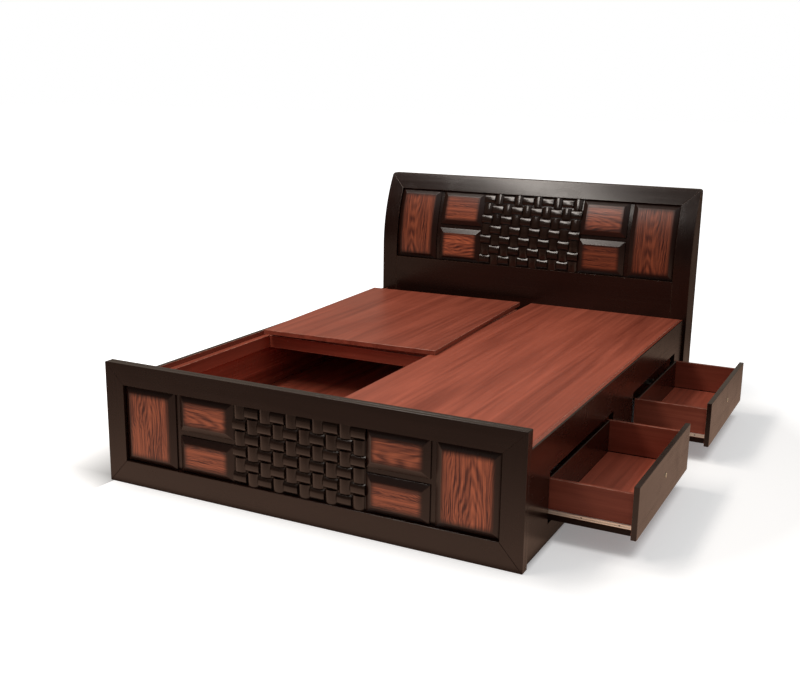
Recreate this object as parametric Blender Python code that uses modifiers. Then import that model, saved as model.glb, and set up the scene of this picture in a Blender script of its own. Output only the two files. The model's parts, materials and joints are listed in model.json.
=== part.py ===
"""Storage bed: bowed headboard, framed footboard, woven panels, loose lids and two drawers."""
import math

import bmesh
import bpy
from mathutils import Matrix, Vector

# Clearances and board stock
GAP = 0.0003
EDGE = 0.001
FLAT_ANGLE = math.radians(1)
SHARP_ANGLE = math.radians(30)
BOARD_T = 0.018
FRAME_T = 0.019

# Bed as a whole: x across, y from the footboard's front to the head, z up from the floor
BED_W = 1.512
END_LAP = 0.011
HEAD_Y = 2.03
DECK_Z = 0.357

# Frames of the two end boards
STILE_W = 0.075
WEAVE_W = 0.49
WEAVE_COLUMNS = 10
FOOT_H = 0.431
FOOT_RAIL_H = 0.075
FOOT_PLINTH_H = 0.084
FOOT_ROWS = 6
HEAD_H = 0.93
HEAD_RAIL_H = 0.071
HEAD_RECESS_Z = 0.523
HEAD_ROWS = 7
HEAD_CORNER_R = 0.012
FOOT_CORNER_R = 0.003
CORNER_STEPS = 3

# Bow of the headboard
BOW_START = 0.571
BOW_RADIUS = 0.68
BOW_STEP = 0.01
BACKING_T = 0.012
BACKING_LAP = 0.03

# Raised panels and weave
PANEL_GAP = 0.001
PANEL_SPACE = 0.019
PANEL_BORDER = 0.0225
PANEL_EDGE = 0.005
PANEL_FIELD = 0.0175
TALL_W = 0.21
STRAP_GROUND = 0.004
STRAP_END = 0.011
STRAP_PEAK = 0.0165
STRAP_MARGIN = 0.0008
STRAP_WIDTH = 0.036
STRAP_EASE = 0.005

# Carcass inside
DIVIDER_X = 0.033
DIVIDER_T = 0.028
DIVIDER_LAP = 0.011
CLEAT_W = 0.025
CLEAT_H = 0.05
RAIL_Y = 0.918
RAIL_W = 0.1
STORE_Z = 0.1
STORE_T = 0.012

# Lids
LID_SIDE_GAP = 0.0045
LID_END_GAP = 0.002
LID_SPARE = 0.0207
FRONT_LID_L = 0.927
FRONT_LID_SLIDE = 0.886
REAR_LID_SHIFT = 0.0065
REAR_LID_BACK = 0.1055
REAR_LID_TURN = math.radians(2.7)

# Drawers
NEAR_Y = 0.585
FAR_Y = 1.545
NEAR_PULL = 0.274
FAR_PULL = 0.294
OPENING_W = 0.69
OPENING_H = 0.173
OPENING_Z = 0.062
FRONT_CLEAR = 0.002
RUNNER_SPACE = 0.0127
BOX_DEPTH = 0.272
BOX_LIFT = 0.01
BOX_H = 0.135
BOX_T = 0.012
BOX_FLOOR = 0.011
BOX_FLOOR_T = 0.006

# Runners
RUNNER_Z = 0.03
RUNNER_H = 0.016
RUNNER_T = 0.008
RUNNER_TAIL = 0.178
GROOVE_H = 0.006
GROOVE_T = 0.002
REST_H = 0.01
REST_T = 0.0112
REST_SETBACK = 0.004

# Locks
LOCK_Z = 0.096
LOCK_R = 0.0085
LOCK_FACE_T = 0.0012
PLUG_R = 0.0065
BORE_CLEAR = 0.0005
CAM_L = 0.084
CAM_W = 0.012
CAM_T = 0.0026
CAM_STEP = 0.0003
ROUND_STEPS = 20

# Derived sizes
SIDE_X = BED_W / 2
END_X = SIDE_X + END_LAP
INNER_X = SIDE_X - BOARD_T
RECESS_X = END_X - STILE_W
WEAVE_X = WEAVE_W / 2
FOOT_T = FRAME_T + GAP + BOARD_T
FOOT_TOP = FOOT_H - FOOT_RAIL_H
HEAD_TOP = HEAD_H - HEAD_RAIL_H
HEAD_CELL = (HEAD_TOP - HEAD_RECESS_Z) / HEAD_ROWS
LEDGE_Z = DECK_Z - BOARD_T
CARCASS_START = FOOT_T + GAP
CARCASS_END = HEAD_Y - GAP
DIVIDER_RIGHT = DIVIDER_X + DIVIDER_LAP
DIVIDER_LEFT = DIVIDER_RIGHT - DIVIDER_T
BOX_W = OPENING_W - 2 * RUNNER_SPACE
RUNNER_L = BOX_DEPTH + RUNNER_TAIL
MITRE = 1.5 * GAP
LID_X = (DIVIDER_X - INNER_X) / 2
LID_W = DIVIDER_X + INNER_X - 2 * LID_SIDE_GAP
REAR_LID_L = HEAD_Y - FOOT_T - FRONT_LID_L - LID_SPARE
REAR_LID_X = LID_X + REAR_LID_SHIFT
REAR_LID_Y = HEAD_Y - REAR_LID_BACK - REAR_LID_L / 2
ROW_LEVELS = [HEAD_RECESS_Z + row * HEAD_CELL for row in range(HEAD_ROWS + 1)]
LEVELS = [BOW_START]
LEVELS += [level for level in ROW_LEVELS if level > BOW_START + BOW_STEP]
LEVELS += [HEAD_H - HEAD_RAIL_H / 2, HEAD_H]


def arc(z):
    """Lean of the true bow at height z."""
    rise = max(z - BOW_START, 0.0)
    return BOW_RADIUS - math.sqrt(BOW_RADIUS ** 2 - rise ** 2)


def bow(z):
    """Lean of the faceted bow that every headboard piece shares."""
    if z <= LEVELS[0]:
        return 0.0
    for low, high in zip(LEVELS, LEVELS[1:]):
        if z <= high:
            share = (z - low) / (high - low)
            return arc(low) + share * (arc(high) - arc(low))
    return arc(LEVELS[-1])


HEAD_DEPTH = bow(HEAD_H) + FRAME_T + GAP + BOARD_T
LENGTH = HEAD_Y + HEAD_DEPTH
REACH = SIDE_X + max(NEAR_PULL, FAR_PULL) + GAP + LOCK_FACE_T

for old in list(bpy.data.objects):
    bpy.data.objects.remove(old, do_unlink=True)

parts = bpy.data.collections.new("storage_bed")
cutters = bpy.data.collections.new("cutters")
bpy.context.scene.collection.children.link(parts)
bpy.context.scene.collection.children.link(cutters)


def finish(name, colour, roughness, metallic=0.0):
    """Make one material."""
    material = bpy.data.materials.new(name)
    material.use_nodes = True
    shader = material.node_tree.nodes["Principled BSDF"]
    shader.inputs["Base Color"].default_value = (*colour, 1.0)
    shader.inputs["Roughness"].default_value = roughness
    shader.inputs["Metallic"].default_value = metallic
    return material


LACQUER = finish("espresso_lacquer", (0.026, 0.012, 0.008), 0.28)
LAMINATE = finish("mahogany_laminate", (0.26, 0.07, 0.042), 0.35)
VENEER = finish("rosewood_veneer", (0.36, 0.08, 0.03), 0.25)
STRAP = finish("woven_straps", (0.05, 0.03, 0.024), 0.3)
RUNNER = finish("cream_runner", (0.58, 0.51, 0.38), 0.4, 0.3)
BRASS = finish("lock_brass", (0.5, 0.4, 0.2), 0.3, 1.0)


def pivot(name, location, parent=None):
    """Add an empty that carries a group of pieces."""
    empty = bpy.data.objects.new(name, None)
    parts.objects.link(empty)
    empty.parent = parent
    empty.location = location
    return empty


def place(name, bm, material, parent, location=(0.0, 0.0, 0.0), ease=EDGE):
    """Turn a finished bmesh into one named piece with eased edges."""
    bmesh.ops.recalc_face_normals(bm, faces=bm.faces)
    mesh = bpy.data.meshes.new(name)
    bm.to_mesh(mesh)
    bm.free()
    mesh.materials.append(material)
    piece = bpy.data.objects.new(name, mesh)
    parts.objects.link(piece)
    piece.parent = parent
    piece.location = location
    if ease:
        bevel = piece.modifiers.new("eased_edges", "BEVEL")
        bevel.width = ease
        bevel.segments = 1
        bevel.limit_method = "ANGLE"
        bevel.angle_limit = SHARP_ANGLE
    return piece


def cube(low, high):
    """Box mesh about its own centre, with that centre."""
    low = Vector(low)
    high = Vector(high)
    bm = bmesh.new()
    bmesh.ops.create_cube(bm, size=1.0, matrix=Matrix.Diagonal((high - low).to_4d()))
    return bm, (low + high) / 2


def board(name, low, high, material, parent, ease=EDGE):
    """Straight board between two corners."""
    bm, centre = cube(low, high)
    return place(name, bm, material, parent, centre, ease)


def combine(piece, bm, location, operation):
    """Cut or join a closed helper mesh with a piece."""
    bmesh.ops.recalc_face_normals(bm, faces=bm.faces)
    mesh = bpy.data.meshes.new(piece.name + "_cutter")
    bm.to_mesh(mesh)
    bm.free()
    cutter = bpy.data.objects.new(piece.name + "_cutter", mesh)
    cutters.objects.link(cutter)
    cutter.parent = piece.parent
    cutter.location = location
    cutter.hide_render = True
    cutter.display_type = "WIRE"
    boolean = piece.modifiers.new("cut", "BOOLEAN")
    boolean.operation = operation
    boolean.solver = "EXACT"
    boolean.object = cutter


def drawn(outline, thickness):
    """Flat outline with a thickness, as a welded mesh about the outline's own plane."""
    curve = bpy.data.curves.new("outline", "CURVE")
    curve.dimensions = "2D"
    curve.fill_mode = "BOTH"
    curve.extrude = thickness / 2
    spline = curve.splines.new("POLY")
    spline.points.add(len(outline) - 1)
    for point, (across, up) in zip(spline.points, outline):
        point.co = (across, up, 0.0, 1.0)
    spline.use_cyclic_u = True
    drawing = bpy.data.objects.new("outline", curve)
    cutters.objects.link(drawing)
    graph = bpy.context.evaluated_depsgraph_get()
    mesh = bpy.data.meshes.new_from_object(drawing.evaluated_get(graph))
    bm = bmesh.new()
    bm.from_mesh(mesh)
    bmesh.ops.remove_doubles(bm, verts=bm.verts, dist=1e-6)
    bmesh.ops.dissolve_limit(bm, angle_limit=FLAT_ANGLE, verts=bm.verts, edges=bm.edges)
    bmesh.ops.recalc_face_normals(bm, faces=bm.faces)
    bpy.data.objects.remove(drawing, do_unlink=True)
    bpy.data.curves.remove(curve)
    bpy.data.meshes.remove(mesh)
    return bm


def upright(outline, front, back):
    """Outline in x and z, thick from front to back along y."""
    bm = drawn(outline, back - front)
    turn = Matrix.Rotation(math.pi / 2, 4, "X")
    bmesh.ops.transform(bm, matrix=turn, verts=bm.verts)
    bmesh.ops.translate(bm, vec=(0.0, (front + back) / 2, 0.0), verts=bm.verts)
    return bm


def sideways(outline, start, end):
    """Outline in y and z, thick from start to end along x."""
    bm = drawn(outline, end - start)
    turn = Matrix.Rotation(math.pi / 2, 4, "Z") @ Matrix.Rotation(math.pi / 2, 4, "X")
    bmesh.ops.transform(bm, matrix=turn, verts=bm.verts)
    bmesh.ops.translate(bm, vec=((start + end) / 2, 0.0, 0.0), verts=bm.verts)
    return bm


def corner(height, radius):
    """Points round the upper right corner of an end board, from its side to its top."""
    points = []
    for step in range(2 * CORNER_STEPS + 1):
        angle = step / CORNER_STEPS * math.pi / 4
        across = END_X - radius + radius * math.cos(angle)
        points.append((across, height - radius + radius * math.sin(angle)))
    return points


def bend(bm):
    """Cut a flat headboard piece at the shared levels and lean it back."""
    for level in LEVELS[:-1]:
        everything = bm.verts[:] + bm.edges[:] + bm.faces[:]
        bmesh.ops.bisect_plane(
            bm, geom=everything, dist=1e-6, plane_co=(0.0, 0.0, level), plane_no=(0.0, 0.0, 1.0)
        )
    for vert in bm.verts:
        vert.co.y += bow(vert.co.z)
    return bm


def mirrored(outline):
    return [(-x, z) for x, z in reversed(outline)]


def rail_outline(height, top, radius):
    """Top rail, mitred to the stiles at both rounded corners."""
    right = [(RECESS_X - MITRE, top)]
    right += [(x - MITRE, z) for x, z in corner(height, radius)[CORNER_STEPS:]]
    return right + mirrored(right)


def stile_outline(height, top, bottom, radius):
    """Right stile from the floor to the rounded corner; its foot is mitred above a bottom rail."""
    outer = [(END_X, 0.0)] + corner(height, radius)[:CORNER_STEPS + 1]
    return outer + [(RECESS_X, top), (RECESS_X, bottom)]


def plinth_outline(top):
    """Bottom rail, mitred to the stiles."""
    right = [(END_X - MITRE, 0.0), (RECESS_X - MITRE, top)]
    return right + mirrored(right)


def sheet_outline(height, radius):
    """Whole end board with its two rounded corners."""
    right = [(END_X, 0.0)] + corner(height, radius)
    return right + mirrored(right)


def raised_panel(left, right, bottom, top):
    """Raised-and-fielded panel: thin edge, sloping border, flat field."""
    bm, centre = cube((left, FRAME_T - PANEL_EDGE, bottom), (right, FRAME_T, top))
    bmesh.ops.translate(bm, vec=centre, verts=bm.verts)
    front = min(bm.faces, key=lambda face: face.calc_center_median().y)
    bmesh.ops.inset_individual(
        bm,
        faces=[front],
        thickness=PANEL_BORDER,
        depth=PANEL_FIELD - PANEL_EDGE,
        use_even_offset=True,
    )
    return bm


def panel_spots(bottom, top):
    """Names and extents of the six raised panels of one end board."""
    outer = (RECESS_X - PANEL_GAP - TALL_W, RECESS_X - PANEL_GAP)
    inner = (WEAVE_X + PANEL_GAP, outer[0] - PANEL_SPACE)
    middle = (bottom + top) / 2
    low = bottom + PANEL_GAP
    high = top - PANEL_GAP
    spots = []
    for side, sign in (("left", -1), ("right", 1)):
        wide = sorted(sign * x for x in outer)
        small = sorted(sign * x for x in inner)
        spots.append((side + "_tall", wide, low, high))
        spots.append((side + "_upper", small, middle + PANEL_SPACE / 2, high))
        spots.append((side + "_lower", small, low, middle - PANEL_SPACE / 2))
    return spots


def weave(rows, bottom, top):
    """Woven panel: over-and-under straps standing on one ground."""
    bm = bmesh.new()
    cell_x = WEAVE_W / WEAVE_COLUMNS
    cell_z = (top - bottom) / rows
    ground = Matrix.Translation((0.0, FRAME_T - STRAP_GROUND, (bottom + top) / 2))
    spread = Matrix.Diagonal((WEAVE_W / 2, (top - bottom) / 2, 1.0, 1.0))
    stand = ground @ Matrix.Rotation(math.pi / 2, 4, "X") @ spread
    bmesh.ops.create_grid(bm, x_segments=WEAVE_COLUMNS, y_segments=rows, size=1.0, matrix=stand)
    for vert in bm.verts:
        vert.co.z = min(max(vert.co.z, bottom + GAP), top - GAP)
    tiles = bm.faces[:]
    bmesh.ops.inset_individual(bm, faces=tiles, thickness=STRAP_MARGIN, use_even_offset=True)
    upright_tiles = set()
    for tile in tiles:
        centre = tile.calc_center_median()
        column = math.floor((centre.x + WEAVE_X) / cell_x)
        row = math.floor((centre.z - bottom) / cell_z)
        narrow_x = STRAP_WIDTH / (cell_x - 2 * STRAP_MARGIN)
        narrow_z = STRAP_WIDTH / (cell_z - 2 * STRAP_MARGIN)
        factors = (1.0, 1.0, narrow_z)
        if (row + column) % 2 == 1:
            factors = (narrow_x, 1.0, 1.0)
            upright_tiles.add((row, column))
        bmesh.ops.scale(bm, vec=factors, space=Matrix.Translation(-centre), verts=tile.verts)
    grown = bmesh.ops.extrude_discrete_faces(bm, faces=tiles)
    tops = grown["faces"]
    sides = []
    for tile in tops:
        bmesh.ops.translate(bm, vec=(0.0, STRAP_GROUND - STRAP_END, 0.0), verts=tile.verts)
        centre = tile.calc_center_median()
        column = math.floor((centre.x + WEAVE_X) / cell_x)
        row = math.floor((centre.z - bottom) / cell_z)
        axis = 2 if (row, column) in upright_tiles else 0
        for edge in tile.edges:
            along = edge.verts[1].co - edge.verts[0].co
            if abs(along[axis]) > along.length / 2:
                sides.append(edge)
    ridges = bmesh.ops.subdivide_edges(bm, edges=sides, cuts=1, use_grid_fill=True)
    crests = [item for item in ridges["geom_inner"] if isinstance(item, bmesh.types.BMVert)]
    bmesh.ops.translate(bm, vec=(0.0, STRAP_END - STRAP_PEAK, 0.0), verts=crests)
    arches = [item for item in ridges["geom_split"] if isinstance(item, bmesh.types.BMEdge)]
    bmesh.ops.bevel(
        bm,
        geom=arches,
        offset=STRAP_EASE,
        offset_type="OFFSET",
        segments=1,
        profile=0.5,
        affect="EDGES",
        material=-1,
    )
    rim = [edge for edge in bm.edges if edge.is_boundary]
    grown = bmesh.ops.extrude_edge_only(bm, edges=rim)
    for item in grown["geom"]:
        if isinstance(item, bmesh.types.BMVert):
            item.co.y = FRAME_T
    rim = [edge for edge in bm.edges if edge.is_boundary]
    bmesh.ops.holes_fill(bm, edges=rim)
    return bm


# The origin is the middle of the bed's outline on the floor
bed = pivot("bed", (-(REACH - END_X) / 2, -LENGTH / 2, 0.0))
ahead = (0.0, HEAD_Y, 0.0)

# Footboard
rail = rail_outline(FOOT_H, FOOT_TOP, FOOT_CORNER_R)
stile = stile_outline(FOOT_H, FOOT_TOP, FOOT_PLINTH_H, FOOT_CORNER_R)
plinth = plinth_outline(FOOT_PLINTH_H)
sheet = sheet_outline(FOOT_H, FOOT_CORNER_R)
place("footboard_top_rail", upright(rail, 0.0, FRAME_T), LACQUER, bed)
place("footboard_bottom_rail", upright(plinth, 0.0, FRAME_T), LACQUER, bed)
place("footboard_left_stile", upright(mirrored(stile), 0.0, FRAME_T), LACQUER, bed)
place("footboard_right_stile", upright(stile, 0.0, FRAME_T), LACQUER, bed)
place("footboard_backing", upright(sheet, FRAME_T + GAP, FOOT_T), LACQUER, bed)
for label, (left, right), low, high in panel_spots(FOOT_PLINTH_H, FOOT_TOP):
    panel = raised_panel(left, right, low, high)
    place("footboard_panel_" + label, panel, VENEER, bed, ease=0.0)
place("footboard_weave", weave(FOOT_ROWS, FOOT_PLINTH_H, FOOT_TOP), STRAP, bed, ease=0.0)

# Headboard
rail = rail_outline(HEAD_H, HEAD_TOP, HEAD_CORNER_R)
stile = stile_outline(HEAD_H, HEAD_TOP, 0.0, HEAD_CORNER_R)
sheet = sheet_outline(HEAD_H, HEAD_CORNER_R)
inside = RECESS_X - GAP
lower, centre = cube((-inside, 0.0, 0.0), (inside, FRAME_T, HEAD_RECESS_Z))
bmesh.ops.translate(lower, vec=centre, verts=lower.verts)
place("headboard_top_rail", bend(upright(rail, 0.0, FRAME_T)), LACQUER, bed, ahead)
place("headboard_lower_board", bend(lower), LACQUER, bed, ahead)
place("headboard_left_stile", bend(upright(mirrored(stile), 0.0, FRAME_T)), LACQUER, bed, ahead)
place("headboard_right_stile", bend(upright(stile, 0.0, FRAME_T)), LACQUER, bed, ahead)
lap_x = RECESS_X + BACKING_LAP
lap_low = HEAD_RECESS_Z - BACKING_LAP
lap_high = HEAD_TOP + BACKING_LAP
backing_y = FRAME_T + GAP
backing, centre = cube((-lap_x, backing_y, lap_low), (lap_x, backing_y + BACKING_T, lap_high))
bmesh.ops.translate(backing, vec=centre, verts=backing.verts)
place("headboard_backing", bend(backing), LACQUER, bed, ahead)
for label, (left, right), low, high in panel_spots(HEAD_RECESS_Z, HEAD_TOP):
    panel = bend(raised_panel(left, right, low, high))
    place("headboard_panel_" + label, panel, VENEER, bed, ahead, 0.0)
head_weave = bend(weave(HEAD_ROWS, HEAD_RECESS_Z, HEAD_TOP))
place("headboard_weave", head_weave, STRAP, bed, ahead, 0.0)
back_y = HEAD_DEPTH - BOARD_T
place("headboard_back_panel", upright(sheet, back_y, HEAD_DEPTH), LACQUER, bed, ahead)
cheek_levels = [0.0] + LEVELS[:-1] + [HEAD_H - HEAD_CORNER_R]
outline = [(FRAME_T + GAP + bow(z), z) for z in cheek_levels]
outline += [(back_y - GAP, z) for z in (cheek_levels[-1], 0.0)]
for side, start in (("left", -END_X), ("right", END_X - BOARD_T)):
    cheek = sideways(outline, start, start + BOARD_T)
    place("headboard_%s_cheek" % side, cheek, LACQUER, bed, ahead, EDGE / 2)

# Carcass
board(
    "left_side_panel",
    (-SIDE_X, CARCASS_START, 0.0),
    (-INNER_X, CARCASS_END, DECK_Z),
    LACQUER,
    bed,
)
side_panel = board(
    "right_side_panel",
    (INNER_X, CARCASS_START, 0.0),
    (SIDE_X, CARCASS_END, DECK_Z),
    LACQUER,
    bed,
)
board(
    "centre_divider",
    (DIVIDER_LEFT, CARCASS_START, 0.0),
    (DIVIDER_RIGHT, CARCASS_END, LEDGE_Z),
    LAMINATE,
    bed,
)
board(
    "deck_panel",
    (DIVIDER_X, CARCASS_START, LEDGE_Z + GAP),
    (INNER_X - GAP, CARCASS_END, DECK_Z),
    LAMINATE,
    bed,
)
board(
    "left_cleat",
    (-INNER_X + GAP, CARCASS_START, LEDGE_Z - CLEAT_H),
    (-INNER_X + CLEAT_W, CARCASS_END, LEDGE_Z),
    LAMINATE,
    bed,
)
board(
    "cross_rail",
    (-INNER_X + CLEAT_W + GAP, RAIL_Y, LEDGE_Z - CLEAT_H),
    (DIVIDER_LEFT - GAP, RAIL_Y + RAIL_W, LEDGE_Z),
    LAMINATE,
    bed,
)
board(
    "storage_bottom",
    (-INNER_X + GAP, CARCASS_START, STORE_Z),
    (DIVIDER_LEFT - GAP, CARCASS_END, STORE_Z + STORE_T),
    LAMINATE,
    bed,
)

# Lids
lid_y = FOOT_T + LID_END_GAP + FRONT_LID_SLIDE
board(
    "front_lid",
    (LID_X - LID_W / 2, lid_y, LEDGE_Z + GAP),
    (LID_X + LID_W / 2, lid_y + FRONT_LID_L, DECK_Z),
    LAMINATE,
    bed,
)
rear_lid = board(
    "rear_lid",
    (REAR_LID_X - LID_W / 2, REAR_LID_Y - REAR_LID_L / 2, DECK_Z + GAP),
    (REAR_LID_X + LID_W / 2, REAR_LID_Y + REAR_LID_L / 2, DECK_Z + GAP + BOARD_T),
    LAMINATE,
    bed,
)
rear_lid.rotation_euler = (0.0, 0.0, REAR_LID_TURN)


def runner(name, sign, inner, parent):
    """Grooved bar on the outside of a drawer box."""
    face = inner + RUNNER_T
    mid = RUNNER_Z + RUNNER_H / 2
    low = mid - GROOVE_H / 2
    high = mid + GROOVE_H / 2
    outline = [
        (inner, RUNNER_Z),
        (face, RUNNER_Z),
        (face, low),
        (face - GROOVE_T, low),
        (face - GROOVE_T, high),
        (face, high),
        (face, RUNNER_Z + RUNNER_H),
        (inner, RUNNER_Z + RUNNER_H),
    ]
    start = -(BOARD_T + GAP + RUNNER_L)
    bm = sideways([(sign * y, z) for y, z in outline], start, start + RUNNER_L)
    place(name, bm, RUNNER, parent, ease=0.0)


def turned(name, profile, material, parent, spot):
    """Solid of revolution about x: a profile of radius and place along the axis."""
    bm = bmesh.new()
    verts = [bm.verts.new((radius, 0.0, along)) for radius, along in profile]
    for pair in zip(verts, verts[1:]):
        bm.edges.new(pair)
    piece = place(name, bm, material, parent, spot, 0.0)
    piece.rotation_euler = (0.0, math.pi / 2, 0.0)
    screw = piece.modifiers.new("turned", "SCREW")
    screw.steps = ROUND_STEPS
    screw.render_steps = ROUND_STEPS
    screw.use_merge_vertices = True
    screw.merge_threshold = 0.00001
    graph = bpy.context.evaluated_depsgraph_get()
    mesh = bpy.data.meshes.new_from_object(piece.evaluated_get(graph))
    mesh.shade_smooth()
    mesh.set_sharp_from_angle(angle=SHARP_ANGLE)
    piece.modifiers.clear()
    profile_mesh = piece.data
    piece.data = mesh
    bpy.data.meshes.remove(profile_mesh)
    return piece


def lock(name, parent):
    """Turning lock: face disc, plug through the bore and a cam behind the front."""
    behind = -(BOARD_T + GAP)
    face = GAP + LOCK_FACE_T
    profile = [
        (0.0, face),
        (LOCK_R, face),
        (LOCK_R, GAP),
        (PLUG_R, GAP),
        (PLUG_R, behind),
        (LOCK_R, behind),
        (LOCK_R, behind - CAM_T),
        (0.0, behind - CAM_T),
    ]
    spot = (0.0, 0.0, LOCK_Z)
    body = turned(name, profile, BRASS, parent, spot)
    low = (behind - CAM_T + CAM_STEP, 0.0, -CAM_W / 2)
    high = (behind - CAM_STEP, CAM_L, CAM_W / 2)
    bm, centre = cube(low, high)
    combine(body, bm, Vector(spot) + centre, "UNION")


def drawer(name, centre, pull):
    """Drawer box with its inset front, runners, lock and the bay it slides in."""
    cut, middle = cube(
        (INNER_X - BOARD_T, centre - OPENING_W / 2, OPENING_Z),
        (SIDE_X + BOARD_T, centre + OPENING_W / 2, OPENING_Z + OPENING_H),
    )
    combine(side_panel, cut, middle, "DIFFERENCE")
    slide = pivot(name + "_drawer", (SIDE_X + pull, centre, OPENING_Z), bed)
    prefix = name + "_drawer_"
    front_y = OPENING_W / 2 - FRONT_CLEAR
    box_start = -(BOARD_T + GAP)
    box_end = box_start - BOX_DEPTH
    half = BOX_W / 2
    inside = half - BOX_T - GAP
    top = BOX_LIFT + BOX_H
    front = board(
        prefix + "front",
        (-BOARD_T, -front_y, FRONT_CLEAR),
        (0.0, front_y, OPENING_H - FRONT_CLEAR),
        LACQUER,
        slide,
    )
    bore_r = PLUG_R + BORE_CLEAR
    bore = bmesh.new()
    bmesh.ops.create_cone(
        bore,
        cap_ends=True,
        segments=ROUND_STEPS,
        radius1=bore_r,
        radius2=bore_r,
        depth=4 * BOARD_T,
        matrix=Matrix.Rotation(math.pi / 2, 4, "Y"),
    )
    combine(front, bore, (0.0, 0.0, LOCK_Z), "DIFFERENCE")
    for side, sign in (("foot", -1), ("head", 1)):
        edges = sorted((sign * half, sign * (half - BOX_T)))
        board(
            prefix + side + "_side",
            (box_end, edges[0], BOX_LIFT),
            (box_start, edges[1], top),
            LAMINATE,
            slide,
        )
        runner(prefix + side + "_runner", sign, half + GAP, slide)
        wall = sorted((centre + sign * OPENING_W / 2, centre + sign * (OPENING_W / 2 + BOARD_T)))
        board(
            "%s_bay_%s_wall" % (name, side),
            (DIVIDER_RIGHT + GAP, wall[0], 0.0),
            (INNER_X - GAP, wall[1], LEDGE_Z),
            LAMINATE,
            bed,
        )
        rest_y = OPENING_W / 2 - GAP
        rest = sorted((centre + sign * rest_y, centre + sign * (rest_y - REST_T)))
        rest_top = OPENING_Z + RUNNER_Z - GAP
        board(
            "%s_bay_%s_runner" % (name, side),
            (INNER_X - REST_SETBACK - RUNNER_L, rest[0], rest_top - REST_H),
            (INNER_X - REST_SETBACK, rest[1], rest_top),
            RUNNER,
            bed,
            EDGE / 2,
        )
    board(
        prefix + "back",
        (box_end, -inside, BOX_LIFT),
        (box_end + BOX_T, inside, top),
        LACQUER,
        slide,
    )
    board(
        prefix + "bottom",
        (box_end + BOX_T + GAP, -inside, BOX_LIFT + BOX_FLOOR),
        (box_start, inside, BOX_LIFT + BOX_FLOOR + BOX_FLOOR_T),
        LAMINATE,
        slide,
    )
    lock(prefix + "lock", slide)


drawer("near", NEAR_Y, NEAR_PULL)
drawer("far", FAR_Y, FAR_PULL)
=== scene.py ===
"""Finish, studio and camera for the storage bed with the bowed, woven headboard."""
import json
import math
import random

import bmesh
import bpy
from bpy.props import FloatProperty, FloatVectorProperty, IntProperty, PointerProperty
from mathutils import Matrix, Vector

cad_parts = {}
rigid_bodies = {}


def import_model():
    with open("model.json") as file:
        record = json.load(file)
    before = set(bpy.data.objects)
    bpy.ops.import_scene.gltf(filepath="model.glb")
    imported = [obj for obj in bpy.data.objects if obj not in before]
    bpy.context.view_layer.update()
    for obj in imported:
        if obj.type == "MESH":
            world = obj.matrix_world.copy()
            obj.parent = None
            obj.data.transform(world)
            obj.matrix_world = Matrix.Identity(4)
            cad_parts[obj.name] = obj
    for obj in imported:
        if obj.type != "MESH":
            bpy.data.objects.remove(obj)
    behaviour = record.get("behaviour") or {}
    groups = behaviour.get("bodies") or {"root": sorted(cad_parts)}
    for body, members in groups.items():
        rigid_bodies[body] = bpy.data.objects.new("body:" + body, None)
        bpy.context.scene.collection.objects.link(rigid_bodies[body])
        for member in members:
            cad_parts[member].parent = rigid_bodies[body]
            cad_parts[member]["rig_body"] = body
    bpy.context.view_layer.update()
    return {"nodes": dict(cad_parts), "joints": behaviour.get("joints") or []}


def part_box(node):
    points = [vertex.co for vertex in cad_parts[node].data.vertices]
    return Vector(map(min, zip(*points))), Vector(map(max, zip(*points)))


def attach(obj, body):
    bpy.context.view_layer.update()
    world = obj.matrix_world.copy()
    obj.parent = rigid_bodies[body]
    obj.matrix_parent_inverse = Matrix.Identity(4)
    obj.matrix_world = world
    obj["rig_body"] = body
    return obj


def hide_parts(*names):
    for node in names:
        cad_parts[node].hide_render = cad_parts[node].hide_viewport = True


bl_info = {
    "name": "Storage Bed Finish",
    "version": (1, 0, 0),
    "blender": (4, 5, 0),
    "location": "3D View > Sidebar > Bed",
    "description": "Builds the finished pieces, materials and studio of a storage bed",
    "category": "Object",
}

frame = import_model()
HEAD_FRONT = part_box("headboard_lower_board")[0].y
HEAD_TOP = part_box("headboard_back_panel")[1].z
FOOT_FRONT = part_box("footboard_top_rail")[0].y
FRAME_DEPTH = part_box("footboard_top_rail")[1].y - FOOT_FRONT
PANEL_LABELS = ("left_tall", "left_upper", "left_lower", "right_upper", "right_lower", "right_tall")
# Brightness of each panel's veneer: partly its own tone, partly painted shade that darkens the headboard's
# panels
PANEL_TONE_AND_SHADE = {
    "footboard": (0.9, 0.92, 0.92, 0.95, 0.98, 1.12),
    "headboard": (0.58, 0.68, 0.95, 0.7, 0.5, 0.56),
}

# Painted light and shade: the laminate made paler or darker on single boards
DECK_PAINTED_LIGHT = 1.2
STORE_PAINTED_LIGHT = 1.7
DRAWER_FLOOR_PAINTED_LIGHT = 1.6
DRAWER_SIDE_PAINTED_SHADE = 0.88

# Gloss of the finishes and depth of their pores
GLOSS = 0.5
LAMINATE_GLOSS = 0.26
DRAWER_SIDE_GLOSS = 0.15
PORE_DEPTH = 0.0003
FIGURE_DEPTH = 0.0004

# Boards
SEAM = 0.0003
SKIN = 0.0008
SHARP = 0.5
SIDE_LIP = 0.006
BACKING_DEPTH = 0.012
CHEEK_GAP = 0.0004
CORNER_STEPS = 12

# Runners
CHANNEL_FOOT = 0.25
CHANNEL_LIP = 0.0038
CHANNEL_EASE = 0.0006
CHANNEL_DEPTH = 0.0028
HOLE_PLACES = (0.12, 0.38, 0.66, 0.92)
HOLE_RADIUS = 0.0024
HOLE_DEPTH = 0.001

# Locks
DISH_DEPTH = 0.0005
RIM_EASE = 0.0006
PLUG_RADIUS = 0.0065
CAM_WIDTH = 0.012
CAM_EASE = 0.0004
KEY_WIDTH = 0.0012
KEY_HEIGHT = 0.006


# Settings
def length_property(name, default, description):
    return FloatProperty(name=name, default=default, description=description, unit="LENGTH")


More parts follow.
